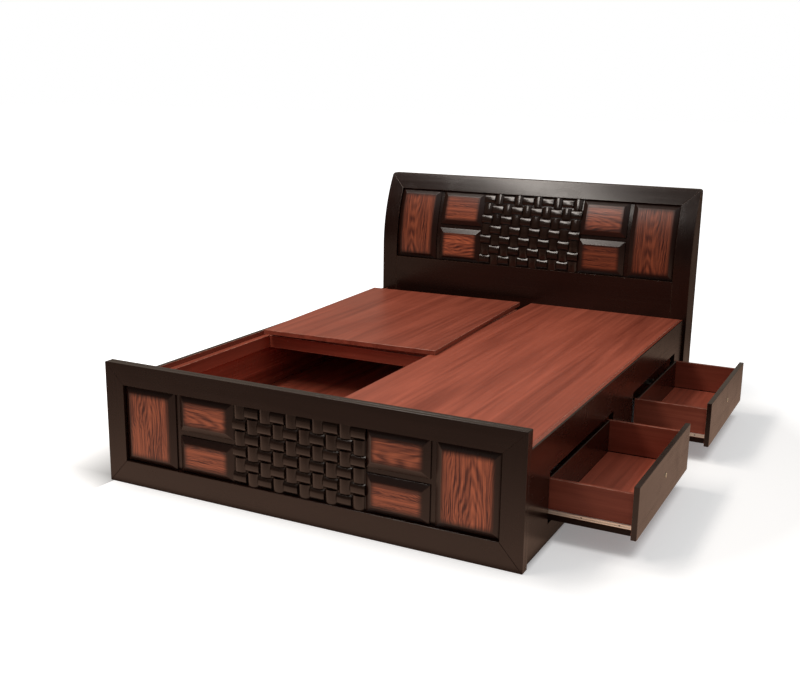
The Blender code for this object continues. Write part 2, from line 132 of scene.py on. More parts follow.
def angle_property(name, default, description):
    return FloatProperty(name=name, default=default, description=description, subtype="ANGLE")


def power_property(name, default, description):
    return FloatProperty(name=name, default=default, description=description, unit="POWER")


def colour_property(name, default, description):
    return FloatVectorProperty(
        name=name, default=default, description=description, subtype="COLOR", min=0.0, max=1.0
    )


class BowSettings(bpy.types.PropertyGroup):
    start: length_property("Bow Start", 0.571, "Height at which the headboard begins to lean back")
    radius: length_property("Bow Radius", 0.68, "Radius of the headboard's curve")
    steps: IntProperty(name="Bow Steps", default=24, description="Number of slices along the curve")
    ease: length_property("Eased Edge", 0.0015, "Rounding of the bowed boards' edges")
    corner: length_property("Corner", 0.012, "Radius of the headboard's upper corners")


class PanelSettings(bpy.types.PropertyGroup):
    border: length_property("Border", 0.0225, "Width of the sloping border around a raised field")
    edge: length_property("Edge", 0.005, "Thickness of a raised panel at its edge")
    field: length_property("Field", 0.0175, "Thickness of a raised panel at its field")
    fade: length_property(
        "Shaded Edge", 0.018, "Width over which the veneer darkens towards the border"
    )
    ease: length_property("Eased Edge", 0.0012, "Rounding of the panels' edges")
    light: colour_property("Veneer Light", (0.54, 0.13, 0.054), "Light tone of the rosewood veneer")
    dark: colour_property("Veneer Dark", (0.08, 0.0145, 0.01), "Dark tone of the rosewood veneer")


class WeaveSettings(bpy.types.PropertyGroup):
    columns: IntProperty(
        name="Columns", default=10, description="Straps side by side across a woven panel"
    )
    foot_rows: IntProperty(
        name="Footboard Rows", default=6, description="Rows of straps in the footboard"
    )
    head_rows: IntProperty(
        name="Headboard Rows", default=7, description="Rows of straps in the headboard"
    )
    length: FloatProperty(
        name="Strap Length", default=1.04, description="Length of one visible strap, in cells"
    )
    width: FloatProperty(name="Strap Width", default=0.85, description="Width of a strap, in cells")
    ground: length_property("Ground", 0.004, "Thickness of the ground behind the straps")
    shoulder: length_property("Shoulder", 0.0025, "Height of a strap along its edges")
    crown: length_property("Crown", 0.0085, "Extra height of a strap along its middle")
    dip: length_property("Dip", 0.0014, "How far a strap drops towards its ends")
    light: colour_property("Strap Light", (0.032, 0.0155, 0.01), "Light tone of the straps")
    dark: colour_property("Strap Dark", (0.011, 0.005, 0.0034), "Dark tone of the straps")


class FinishSettings(bpy.types.PropertyGroup):
    lacquer_light: colour_property(
        "Lacquer Light", (0.017, 0.0052, 0.003), "Light tone of the espresso lacquer"
    )
    lacquer_dark: colour_property(
        "Lacquer Dark", (0.0095, 0.0027, 0.0016), "Dark tone of the espresso lacquer"
    )
    laminate_light: colour_property(
        "Laminate Light", (0.43, 0.105, 0.061), "Light tone of the mahogany laminate"
    )
    laminate_dark: colour_property(
        "Laminate Dark", (0.17, 0.033, 0.018), "Dark tone of the mahogany laminate"
    )
    runner: colour_property("Runner", (0.95, 0.88, 0.79), "Cream coating of the drawer runners")
    brass: colour_property("Brass", (0.95, 0.85, 0.62), "Colour of the drawer locks")


class StudioSettings(bpy.types.PropertyGroup):
    camera: FloatVectorProperty(
        name="Camera",
        description="Place of the camera",
        default=(1.55225, -3.71729, 1.3652),
        subtype="XYZ",
        unit="LENGTH",
    )
    turn: angle_property("Turn", 0.4685, "Turn of the camera to its left")
    pitch: angle_property("Pitch", -0.2428, "Tilt of the camera up from level")
    roll: angle_property("Roll", 0.0149, "Lean of the camera about its line of sight")
    lens: FloatProperty(
        name="Lens", default=47.21, description="Focal length on a 36 mm wide sensor, in millimetres"
    )
    floor: colour_property("Floor", (0.82, 0.82, 0.82), "Colour of the studio floor")
    glow: FloatProperty(
        name="Floor Glow", default=0.45, description="White that the floor adds in the picture"
    )
    painted_reflection: colour_property(
        "Mirrored Floor", (0.92, 0.58, 0.42), "Colour of the floor as glossy surfaces show it"
    )
    key: power_property("Strip Light", 60.0, "Power of the long strip of light overhead")
    cross: power_property("Cross Light", 28.0, "Power of the short light across the end of the strip")
    fill: power_property("Ceiling Light", 12.0, "Power of the wide light on the right")
    sky: FloatProperty(
        name="Surroundings", default=0.3, description="Strength of the even light from all round"
    )


# Node tools
def feed(tree, socket, value):
    """Link a socket to another, or set its value."""
    if isinstance(value, bpy.types.NodeSocket):
        tree.links.new(value, socket)
    else:
        socket.default_value = value


def add(tree, kind, inputs=None, **settings):
    """Add one node with its settings and inputs."""
    made = tree.nodes.new(kind)
    for key, value in settings.items():
        setattr(made, key, value)
    for key, value in (inputs or {}).items():
        feed(tree, made.inputs[key], value)
    return made


def calc(tree, operation, first, second=0.0):
    """Value of a Math node."""
    made = add(tree, "ShaderNodeMath", {0: first, 1: second}, operation=operation)
    return made.outputs[0]


def times(tree, first, second):
    """Product of two values."""
    return calc(tree, "MULTIPLY", first, second)


def parts(tree, vector):
    """The three numbers of a vector."""
    return add(tree, "ShaderNodeSeparateXYZ", {"Vector": vector}).outputs


def object_place(tree):
    """Place of the shaded point in its object's own space."""
    return add(tree, "ShaderNodeTexCoord").outputs["Object"]


def spread(tree, value, low, high, to_low, to_high, way="LINEAR"):
    """Value moved from one range to another, held inside it."""
    inputs = {"Value": value, "From Min": low, "From Max": high, "To Min": to_low, "To Max": to_high}
    return add(tree, "ShaderNodeMapRange", inputs, interpolation_type=way).outputs["Result"]


def blend(tree, factor, first, second):
    """Colour between two colours."""
    inputs = {0: factor, 6: first, 7: second}
    return add(tree, "ShaderNodeMix", inputs, data_type="RGBA").outputs[2]


def stretched_noise(tree, vector, stretch, detail=3.0, distortion=0.0):
    """Noise drawn out along one or more axes."""
    scaled = add(tree, "ShaderNodeVectorMath", {0: vector, 1: stretch}, operation="MULTIPLY")
    inputs = {"Vector": scaled.outputs[0], "Scale": 1.0, "Detail": detail, "Distortion": distortion}
    return add(tree, "ShaderNodeTexNoise", inputs).outputs["Fac"]


def opaque(colour):
    """Colour with full cover."""
    return (colour[0], colour[1], colour[2], 1.0)


def new_group(name, inputs, outputs):
    """Empty shader group with named sockets."""
    tree = bpy.data.node_groups.new(name, "ShaderNodeTree")
    for label, kind in inputs:
        tree.interface.new_socket(name=label, in_out="INPUT", socket_type=kind)
    for label, kind in outputs:
        tree.interface.new_socket(name=label, in_out="OUTPUT", socket_type=kind)
    given = tree.nodes.new("NodeGroupInput").outputs
    result = tree.nodes.new("NodeGroupOutput").inputs
    return tree, given, result


GRAIN_INPUTS = (
    ("Vector", "NodeSocketVector"),
    ("Light", "NodeSocketColor"),
    ("Dark", "NodeSocketColor"),
    ("Roughness", "NodeSocketFloat"),
)
GRAIN_OUTPUTS = (
    ("Color", "NodeSocketColor"),
    ("Roughness", "NodeSocketFloat"),
    ("Height", "NodeSocketFloat"),
)


def grain_group():
    """Bands, fibres and pores that run along the second axis of the given vector."""
    found = bpy.data.node_groups.get("board_grain")
    if found:
        return found
    tree, given, result = new_group("board_grain", GRAIN_INPUTS, GRAIN_OUTPUTS)
    vector = given["Vector"]
    bands = stretched_noise(tree, vector, (15.0, 0.8, 15.0), 4.0, 0.7)
    streaks = stretched_noise(tree, vector, (75.0, 1.6, 75.0), 3.0, 0.3)
    fibres = stretched_noise(tree, vector, (420.0, 9.0, 420.0), 2.0)
    broad = spread(tree, bands, 0.32, 0.68, 0.0, 0.55)
    fine = spread(tree, streaks, 0.3, 0.7, 0.0, 0.35)
    thread = spread(tree, fibres, 0.3, 0.7, -0.06, 0.1)
    share = calc(tree, "ADD", calc(tree, "ADD", broad, fine), thread)
    share = spread(tree, share, 0.0, 1.0, 0.0, 1.0)
    colour = blend(tree, share, given["Dark"], given["Light"])
    pores = spread(tree, fibres, 0.58, 0.7, 0.0, 1.0)
    colour = blend(tree, times(tree, pores, 0.35), colour, given["Dark"])
    feed(tree, result["Color"], colour)
    gloss = spread(tree, streaks, 0.3, 0.7, -0.02, 0.025)
    feed(tree, result["Roughness"], calc(tree, "ADD", given["Roughness"], gloss))
    feed(tree, result["Height"], calc(tree, "SUBTRACT", 0.0, pores))
    return tree


def figure_group():
    """Cathedral figure: growth rings cut at a slant along the second axis."""
    found = bpy.data.node_groups.get("cathedral_figure")
    if found:
        return found
    tree, given, result = new_group("cathedral_figure", GRAIN_INPUTS, GRAIN_OUTPUTS)
    vector = given["Vector"]
    wander = stretched_noise(tree, vector, (14.0, 5.0, 1.0), 4.0, 0.3)
    across = parts(tree, vector)
    sway = spread(tree, wander, 0.2, 0.8, -0.02, 0.02)
    aside = calc(tree, "ADD", across["X"], sway)
    round_tip = calc(tree, "ADD", times(tree, aside, aside), 0.00004)
    side = calc(tree, "SQRT", round_tip)
    peak = spread(tree, side, 0.0, 0.05, 0.15, 0.0, "SMOOTHSTEP")
    rise = times(tree, across["Y"], peak)
    rings = times(tree, calc(tree, "ADD", side, rise), 125.0)
    line = spread(tree, calc(tree, "PINGPONG", rings, 0.5), 0.08, 0.42, 0.0, 1.0)
    fibres = stretched_noise(tree, vector, (520.0, 11.0, 1.0), 2.0)
    fleck = spread(tree, fibres, 0.35, 0.7, 0.0, 0.4)
    streaks = stretched_noise(tree, vector, (110.0, 2.2, 1.0), 3.0, 0.3)
    tone = spread(tree, streaks, 0.3, 0.7, 0.0, 0.65)
    cloud = stretched_noise(tree, vector, (30.0, 6.0, 1.0), 2.0)
    depth = spread(tree, cloud, 0.3, 0.7, 0.1, 0.65)
    share = calc(tree, "ADD", times(tree, line, depth), calc(tree, "ADD", fleck, tone))
    share = spread(tree, share, 0.3, 1.1, 0.0, 1.0)
    feed(tree, result["Color"], blend(tree, share, given["Light"], given["Dark"]))
    gloss = spread(tree, fibres, 0.3, 0.7, -0.03, 0.05)
    feed(tree, result["Roughness"], calc(tree, "ADD", given["Roughness"], gloss))
    feed(tree, result["Height"], calc(tree, "SUBTRACT", 0.0, fleck))
    return tree


def worn_edge(tree, vector, colour, worn, amount):
    """Colour rubbed paler in patches along the eased edges of a board."""
    edge = add(tree, "ShaderNodeAttribute", attribute_name="wear").outputs["Fac"]
    patchy = spread(tree, stretched_noise(tree, vector, (45.0, 45.0, 45.0), 3.0), 0.4, 0.6, 0.25, 1.0)
    share = times(tree, times(tree, edge, patchy), amount)
    return blend(tree, share, colour, worn)


def marks_group():
    """Small pale specks and rubbed patches left by handling."""
    found = bpy.data.node_groups.get("handling_marks")
    if found:
        return found
    tree, given, result = new_group(
        "handling_marks",
        (("Vector", "NodeSocketVector"), ("Amount", "NodeSocketFloat")),
        (("Specks", "NodeSocketFloat"), ("Rub", "NodeSocketFloat")),
    )
    vector = given["Vector"]
    cells = add(tree, "ShaderNodeTexVoronoi", {"Vector": vector, "Scale": 26.0})
    dots = spread(tree, cells.outputs["Distance"], 0.03, 0.055, 1.0, 0.0)
    patchy = stretched_noise(tree, vector, (3.1, 3.1, 3.1), 2.0)
    where = spread(tree, patchy, 0.56, 0.66, 0.0, 1.0)
    specks = times(tree, times(tree, dots, where), given["Amount"])
    feed(tree, result["Specks"], specks)
    rub = stretched_noise(tree, vector, (7.0, 7.0, 7.0), 5.0, 0.6)
    rub = spread(tree, rub, 0.45, 0.75, 0.0, 1.0)
    feed(tree, result["Rub"], times(tree, rub, given["Amount"]))
    return tree


# Materials
def principled(name):
    """New material with its tree and shader."""
    material = bpy.data.materials.new(name)
    material.use_nodes = True
    tree = material.node_tree
    return material, tree, tree.nodes["Principled BSDF"]


def dress(tree, shader, colour, rough, gloss):
    """Give a shader its colour, roughness and gloss."""
    feed(tree, shader.inputs["Base Color"], colour)
    feed(tree, shader.inputs["Roughness"], rough)
    shader.inputs["Specular IOR Level"].default_value = gloss


def bump(tree, shader, height, strength, distance):
    """Fine relief on a shader."""
    inputs = {"Height": height, "Strength": strength, "Distance": distance}
    made = add(tree, "ShaderNodeBump", inputs)
    feed(tree, shader.inputs["Normal"], made.outputs["Normal"])


def along(tree, axis):
    """Object coordinates turned so that the grain runs along the second axis."""
    spot = object_place(tree)
    turns = {"x": (0.0, 0.0, math.pi / 2), "y": (0.0, 0.0, 0.0), "z": (math.pi / 2, 0.0, 0.0)}
    made = add(tree, "ShaderNodeMapping", {"Vector": spot, "Rotation": turns[axis]})
    return made.outputs["Vector"]


def lacquer_layer(tree, vector):
    """Colour, roughness and height of the espresso lacquer."""
    looks = bpy.context.scene.bed_finish
    inputs = {
        "Vector": vector,
        "Light": opaque(looks.lacquer_light),
        "Dark": opaque(looks.lacquer_dark),
        "Roughness": 0.24,
    }
    grain = add(tree, "ShaderNodeGroup", inputs, node_tree=grain_group())
    marks = add(tree, "ShaderNodeGroup", {"Vector": vector, "Amount": 0.06}, node_tree=marks_group())
    rough = calc(tree, "ADD", grain.outputs["Roughness"], marks.outputs["Rub"])
    colour = worn_edge(tree, vector, grain.outputs["Color"], (0.13, 0.07, 0.045, 1.0), 0.35)
    return colour, rough, grain.outputs["Height"]


def laminate_layer(tree, vector, painted_brightness=1.0):
    """Colour, roughness and height of the mahogany laminate."""
    looks = bpy.context.scene.bed_finish
    # painted_brightness scales both tones: above 1 it is painted light, below 1 it is painted shade
    inputs = {
        "Vector": vector,
        "Light": opaque([tone * painted_brightness for tone in looks.laminate_light]),
        "Dark": opaque([tone * painted_brightness for tone in looks.laminate_dark]),
        "Roughness": 0.36,
    }
    grain = add(tree, "ShaderNodeGroup", inputs, node_tree=grain_group())
    marks = add(tree, "ShaderNodeGroup", {"Vector": vector, "Amount": 0.5}, node_tree=marks_group())
    colour = blend(tree, marks.outputs["Specks"], grain.outputs["Color"], (0.7, 0.55, 0.48, 1.0))
    colour = worn_edge(tree, vector, colour, (0.62, 0.36, 0.27, 1.0), 0.7)
    worn = times(tree, marks.outputs["Rub"], 0.14)
    rough = calc(tree, "ADD", grain.outputs["Roughness"], worn)
    return colour, rough, grain.outputs["Height"]


def lacquer(axis):
    """Dark espresso lacquer over grain along one axis."""
    name = "espresso_lacquer_" + axis
    found = bpy.data.materials.get(name)
    if found:
        return found
    material, tree, shader = principled(name)
    colour, rough, height = lacquer_layer(tree, along(tree, axis))
    dress(tree, shader, colour, rough, GLOSS)
    bump(tree, shader, height, 0.04, PORE_DEPTH)
    return material


def laminate(axis, painted_brightness=1.0):
    """Mahogany laminate with streaks along one axis, made paler on the deck and the inner boards as
    painted light.
    """
    name = "mahogany_laminate_%s_%d" % (axis, round(painted_brightness * 100))
    found = bpy.data.materials.get(name)
    if found:
        return found
    material, tree, shader = principled(name)
    colour, rough, height = laminate_layer(tree, along(tree, axis), painted_brightness)
    dress(tree, shader, colour, rough, LAMINATE_GLOSS)
    bump(tree, shader, height, 0.06, PORE_DEPTH)
    return material


def laminate_with_painted_shade(drawer, shade_height):
    """Mahogany drawer side with painted shade below its runner, in the dark lacquer colour."""
    name = drawer + "_drawer_side"
    found = bpy.data.materials.get(name)
    if found:
        return found
    material, tree, shader = principled(name)
    vector = along(tree, "x")
    colour, rough, height = laminate_layer(tree, vector, DRAWER_SIDE_PAINTED_SHADE)
    spot = object_place(tree)
    level = parts(tree, spot)["Z"]
    painted_shade_mask = calc(tree, "LESS_THAN", level, shade_height)
    colour = blend(tree, painted_shade_mask, colour, lacquer_layer(tree, vector)[0])
    dress(tree, shader, colour, rough, DRAWER_SIDE_GLOSS)
    bump(tree, shader, height, 0.06, PORE_DEPTH)
    return material


def lined_lacquer(node, inward, lip=1.0):
    """Lacquer outside and laminate on the inner side, and on the top edge as far as the lip."""
    low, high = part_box(node)
    material, tree, shader = principled(node + "_finish")
    vector = along(tree, "y")
    outer = lacquer_layer(tree, vector)
    inner = laminate_layer(tree, vector)
    spot = object_place(tree)
    place = parts(tree, spot)
    limit = high.x - SKIN if inward > 0 else low.x + SKIN
    inside = calc(tree, "GREATER_THAN" if inward > 0 else "LESS_THAN", place["X"], limit)
    upper = calc(tree, "GREATER_THAN", place["Z"], high.z - SKIN)
    capped = times(tree, upper, calc(tree, "LESS_THAN", place["X"], high.x - lip))
    inside = calc(tree, "MAXIMUM", inside, capped)
    dress(tree, shader, blend(tree, inside, outer[0], inner[0]), outer[1], GLOSS)
    bump(tree, shader, outer[2], 0.04, PORE_DEPTH)
    return material


def veneer():
    """Rosewood veneer that darkens towards the lacquered border."""
    found = bpy.data.materials.get("rosewood_veneer")
    if found:
        return found
    looks = bpy.context.scene.bed_panels
    edge = bpy.context.scene.bed_finish.lacquer_light
    material, tree, shader = principled("rosewood_veneer")
    spot = add(tree, "ShaderNodeUVMap", uv_map="grain").outputs["UV"]
    figure = add(
        tree,
        "ShaderNodeGroup",
        {"Vector": spot, "Light": opaque(looks.light), "Dark": opaque(looks.dark), "Roughness": 0.3},
        node_tree=figure_group(),
    )
    wide = shaded_edge(tree, "rim_wide", looks.fade)
    tall = shaded_edge(tree, "rim_tall", looks.fade)
    # The tone attribute scales the field's colour per panel: partly its own tone, partly painted shade
    tone = add(tree, "ShaderNodeAttribute", attribute_name="tone").outputs["Fac"]
    inputs = {0: figure.outputs["Color"], "Scale": tone}
    field = add(tree, "ShaderNodeVectorMath", inputs, operation="SCALE")
    colour = blend(tree, times(tree, wide, tall), opaque(edge), field.outputs[0])
    dress(tree, shader, colour, figure.outputs["Roughness"], GLOSS)
    bump(tree, shader, figure.outputs["Height"], 0.08, FIGURE_DEPTH)
    return material


def shaded_edge(tree, chart, fade):
    """Mask that rises from a field's edge inwards; the chart holds the place and the half width."""
    spot = add(tree, "ShaderNodeUVMap", uv_map=chart).outputs["UV"]
    place = parts(tree, spot)
    inside = calc(tree, "SUBTRACT", place["Y"], calc(tree, "ABSOLUTE", place["X"]))
    return spread(tree, inside, -0.35 * fade, fade, 0.0, 1.0, "SMOOTHSTEP")


def strapping():
    """Dark glossy straps, each with its own tone."""
    found = bpy.data.materials.get("woven_strapping")
    if found:
        return found
    looks = bpy.context.scene.bed_weave
    material, tree, shader = principled("woven_strapping")
    spot = add(tree, "ShaderNodeUVMap", uv_map="grain").outputs["UV"]
    tone = add(tree, "ShaderNodeAttribute", attribute_name="tone").outputs["Fac"]
    grain = add(
        tree,
        "ShaderNodeGroup",
        {"Vector": spot, "Light": opaque(looks.light), "Dark": opaque(looks.dark), "Roughness": 0.18},
        node_tree=grain_group(),
    )
    colour = blend(tree, tone, opaque(looks.dark), grain.outputs["Color"])
    dress(tree, shader, colour, grain.outputs["Roughness"], GLOSS)
    bump(tree, shader, grain.outputs["Height"], 0.1, FIGURE_DEPTH)
    return material


def coated_metal(name, colour, metallic, roughness):
    """Metal with fine drawn lines along the runner and a little grime."""
    found = bpy.data.materials.get(name)
    if found:
        return found
    material, tree, shader = principled(name)
    spot = object_place(tree)
    lines = stretched_noise(tree, spot, (8.0, 900.0, 900.0), 3.0)
    grime = stretched_noise(tree, spot, (40.0, 40.0, 40.0), 4.0)
    dirt = spread(tree, grime, 0.5, 0.75, 0.0, 0.3)
    dull = opaque([tone * 0.55 for tone in colour])
    feed(tree, shader.inputs["Base Color"], blend(tree, dirt, opaque(colour), dull))
    rough = calc(tree, "ADD", spread(tree, lines, 0.3, 0.7, -0.08, 0.1), roughness)
    feed(tree, shader.inputs["Roughness"], rough)
    shader.inputs["Metallic"].default_value = metallic
    bump(tree, shader, lines, 0.06, PORE_DEPTH)
    return material


def painted_hole_shade():
    """Painted shade that stands for the dark inside of a key slot and of a runner's holes."""
    found = bpy.data.materials.get("dark_slot")
    if found:
        return found
    material, tree, shader = principled("dark_slot")
    spot = object_place(tree)
    cloud = stretched_noise(tree, spot, (500.0, 500.0, 500.0), 2.0)
    colour = blend(tree, cloud, (0.012, 0.01, 0.008, 1.0), (0.03, 0.025, 0.02, 1.0))
    feed(tree, shader.inputs["Base Color"], colour)
    feed(tree, shader.inputs["Roughness"], spread(tree, cloud, 0.3, 0.7, 0.4, 0.7))
    return material


# Mesh tools
def settle(name, bm, materials, body, nodes):
    """Turn a bmesh into a finished piece that rides on a body and stands for its nodes."""
    bmesh.ops.recalc_face_normals(bm, faces=bm.faces)
    mesh = bpy.data.meshes.new(name)
    bm.to_mesh(mesh)
    bm.free()
    mesh.shade_smooth()
    mesh.set_sharp_from_angle(angle=math.radians(32))
    for material in materials:
        mesh.materials.append(material)
    piece = bpy.data.objects.new(name, mesh)
    bpy.context.scene.collection.objects.link(piece)
    weigh(piece)
    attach(piece, body)
    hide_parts(*nodes)
    return piece


def eased(node, material, width=0.0012):
    """Copy of a carried-over board with its sharp edges eased and marked for wear."""
    source = frame["nodes"][node]
    bm = bmesh.new()
    bm.from_mesh(source.data)
    bmesh.ops.remove_doubles(bm, verts=bm.verts, dist=1e-5)
    bmesh.ops.dissolve_limit(bm, angle_limit=0.01, verts=bm.verts, edges=bm.edges)
    wear = bm.faces.layers.float.new("wear")
    for face in soften(bm, [edge for edge in bm.edges if edge.calc_face_angle(0.0) > SHARP], width):
        face[wear] = 1.0
    return settle("eased_" + node, bm, [material], source["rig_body"], [node])


def weigh(piece):
    """Let the wide faces of a piece rule its shading, so that flats stay flat beside eased edges."""
    rule = piece.modifiers.new("flats", "WEIGHTED_NORMAL")
    rule.keep_sharp = True
    rule.weight = 100
    graph = bpy.context.evaluated_depsgraph_get()
    plain = piece.data
    piece.data = bpy.data.meshes.new_from_object(
        piece.evaluated_get(graph), preserve_all_data_layers=True, depsgraph=graph
    )
    piece.modifiers.remove(rule)
    name = plain.name
    bpy.data.meshes.remove(plain)
    piece.data.name = name


def coat(nodes, material):
    """Give carried-over boards their material."""
    for node in nodes:
        mesh = frame["nodes"][node].data
        mesh.materials.clear()
        mesh.materials.append(material)


def block(low, high):
    """Box between two corners."""
    low = Vector(low)
    high = Vector(high)
    bm = bmesh.new()
    place = Matrix.Translation((low + high) / 2) @ Matrix.Diagonal((high - low).to_4d())
    bmesh.ops.create_cube(bm, size=1.0, matrix=place)
    return bm


def inset(bm, face, border, depth=0.0):
    """Step a face in by an even border, raised or sunk."""
    bmesh.ops.inset_individual(bm, faces=[face], thickness=border, depth=depth, use_even_offset=True)


def soften(bm, edges, width, segments=2):
    """Round the edges and give back the new faces."""
    made = bmesh.ops.bevel(
        bm,
        geom=edges,
        offset=width,
        offset_type="OFFSET",
        affect="EDGES",
        segments=segments,
        profile=0.5,
        material=-1,
        clamp_overlap=True,
    )
    return made["faces"]


def prism(outline, depth):
    """Flat outline drawn straight along one vector."""
    bm = bmesh.new()
    face = bm.faces.new([bm.verts.new(point) for point in outline])
    grown = bmesh.ops.extrude_face_region(bm, geom=[face])
    moved = [item for item in grown["geom"] if isinstance(item, bmesh.types.BMVert)]
    bmesh.ops.translate(bm, verts=moved, vec=depth)
    return bm


def lean(z):
    """How far the bow leans back at a height."""
    bow = bpy.context.scene.bed_bow
    rise = max(z - bow.start, 0.0)
    return bow.radius - math.sqrt(bow.radius ** 2 - rise ** 2)


def merge(bm, extra):
    """Move all of one bmesh into another."""
    mesh = bpy.data.meshes.new("extra")
    extra.to_mesh(mesh)
    extra.free()
    bm.from_mesh(mesh)
    bpy.data.meshes.remove(mesh)


def cut(bm, point, normal, trim=False):
    """Cut a bmesh along a plane, and drop what lies past it if asked."""
    everything = bm.verts[:] + bm.edges[:] + bm.faces[:]
    bmesh.ops.bisect_plane(
        bm, geom=everything, dist=1e-6, plane_co=point, plane_no=normal, clear_outer=trim
    )


def slice_bow(bm):
    """Cut a flat headboard piece into fine slices for bending."""
    bow = bpy.context.scene.bed_bow
    for step in range(bow.steps):
        level = bow.start + (HEAD_TOP - bow.start) * step / bow.steps
        cut(bm, (0.0, 0.0, level), (0.0, 0.0, 1.0))


def bend(bm):
    """Lean a flat headboard piece back along the bow."""
    for vert in bm.verts:
        vert.co.y += lean(vert.co.z)


class BED_OT_boards(bpy.types.Operator):
    """Lacquer the straight boards of the frame and the drawer fronts"""

    bl_idname = "bed.boards"
    bl_label = "Lacquered Boards"

    def execute(self, context):
        coat(("footboard_backing", "headboard_back_panel"), lacquer("x"))
        for node in ("footboard_top_rail", "footboard_bottom_rail"):
            eased(node, lacquer("x"))
        for node in ("footboard_left_stile", "footboard_right_stile"):
            eased(node, lacquer("z"))
        eased("left_side_panel", lined_lacquer("left_side_panel", 1))
        eased("right_side_panel", lined_lacquer("right_side_panel", -1, SIDE_LIP))
        for node in ("near_drawer_front", "far_drawer_front"):
            eased(node, lined_lacquer(node, -1))
        return {"FINISHED"}


class BED_OT_platform(bpy.types.Operator):
    """Laminate the deck, lids, storage and drawer boxes"""

    bl_idname = "bed.platform"
    bl_label = "Laminated Boards"

    def execute(self, context):
        eased("deck_panel", laminate("y", DECK_PAINTED_LIGHT))
        for node in ("front_lid", "rear_lid", "left_cleat", "centre_divider"):
            eased(node, laminate("y"))
        eased("cross_rail", laminate("x"))
        coat(("storage_bottom",), laminate("y", STORE_PAINTED_LIGHT))
        for drawer in ("near", "far"):
            prefix = drawer + "_drawer_"
            coat((prefix + "bottom",), laminate("y", DRAWER_FLOOR_PAINTED_LIGHT))
            # The drawer backs take the dark lacquer instead of the box's laminate
            coat((prefix + "back",), lacquer("y"))
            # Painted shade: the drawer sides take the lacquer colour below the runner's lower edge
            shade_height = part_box(prefix + "foot_runner")[0].z
            for node in (prefix + "foot_side", prefix + "head_side"):
                eased(node, laminate_with_painted_shade(drawer, shade_height))
            coat(("%s_bay_foot_wall" % drawer, "%s_bay_head_wall" % drawer), laminate("x"))
        return {"FINISHED"}


class BED_OT_headboard(bpy.types.Operator):
    """Bend the headboard's rails, stiles, backing and cheeks smoothly"""

    bl_idname = "bed.headboard"
    bl_label = "Bowed Headboard"

    def execute(self, context):
        bow = context.scene.bed_bow
        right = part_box("headboard_right_stile")
        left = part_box("headboard_left_stile")
        recess_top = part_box("headboard_top_rail")[0].z
        low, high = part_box("headboard_lower_board")
        corner = self.corner(right[1].x, bow.corner)
        half = len(corner) // 2
        tip = [(right[0].x - SEAM, recess_top)] + [(x - SEAM, z) for x, z in corner[half:]]
        middle = right[1].x + left[0].x
        rail = tip + [(middle - x, z) for x, z in reversed(tip)]
        self.bowed("bowed_top_rail", rail, "x", "headboard_top_rail")
        stile = [(right[0].x, 0.0), (right[1].x, 0.0)] + corner[:half + 1] + [(right[0].x, recess_top)]
        self.bowed("bowed_right_stile", stile, "z", "headboard_right_stile")
        stile = [(middle - x, z) for x, z in reversed(stile)]
        self.bowed("bowed_left_stile", stile, "z", "headboard_left_stile")
        board = ((low.x, 0.0), (high.x, 0.0), (high.x, high.z), (low.x, high.z))
        self.bowed("bowed_lower_board", board, "x", "headboard_lower_board")
        low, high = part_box("headboard_backing")
        rear = HEAD_FRONT + FRAME_DEPTH
        bm = block((low.x, rear + SEAM, low.z), (high.x, rear + BACKING_DEPTH, high.z))
        slice_bow(bm)
        bend(bm)
        settle("bowed_backing", bm, [lacquer("x")], "frame", ["headboard_backing"])
        for side in ("left", "right"):
            self.cheek(side, bow)
        return {"FINISHED"}

    def corner(self, side, radius):
        """Points round the upper right corner, from the side to the top."""
        points = []
        for step in range(CORNER_STEPS + 1):
            angle = step / CORNER_STEPS * math.pi / 2
            x = side - radius + radius * math.cos(angle)
            points.append((x, HEAD_TOP - radius + radius * math.sin(angle)))
        return points

    def bowed(self, name, outline, axis, node):
        """Board cut to an outline, eased, sliced and bent."""
        points = [(x, HEAD_FRONT, z) for x, z in outline]
        bm = prism(points, (0.0, FRAME_DEPTH, 0.0))
        bmesh.ops.recalc_face_normals(bm, faces=bm.faces)
        edges = [edge for edge in bm.edges if edge.calc_face_angle(0.0) > 0.3]
        wear = bm.faces.layers.float.new("wear")
        for face in soften(bm, edges, bpy.context.scene.bed_bow.ease):
            face[wear] = 1.0
        slice_bow(bm)
        bend(bm)
        settle(name, bm, [lacquer(axis)], "frame", [node])

    def cheek(self, side, bow):
        """End panel that fills the space behind a stile."""
        node = "headboard_%s_cheek" % side
        low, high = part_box(node)
        front = HEAD_FRONT + FRAME_DEPTH + CHEEK_GAP
        heights = [0.0, bow.start]
        rise = (high.z - bow.start) / bow.steps
        heights += [bow.start + rise * step for step in range(1, bow.steps + 1)]
        outline = [(low.x, front + lean(z), z) for z in heights]
        outline += [(low.x, high.y, high.z), (low.x, high.y, 0.0)]
        bm = prism(outline, (high.x - low.x, 0.0, 0.0))
        settle("bowed_%s_cheek" % side, bm, [lacquer("z")], "frame", [node])


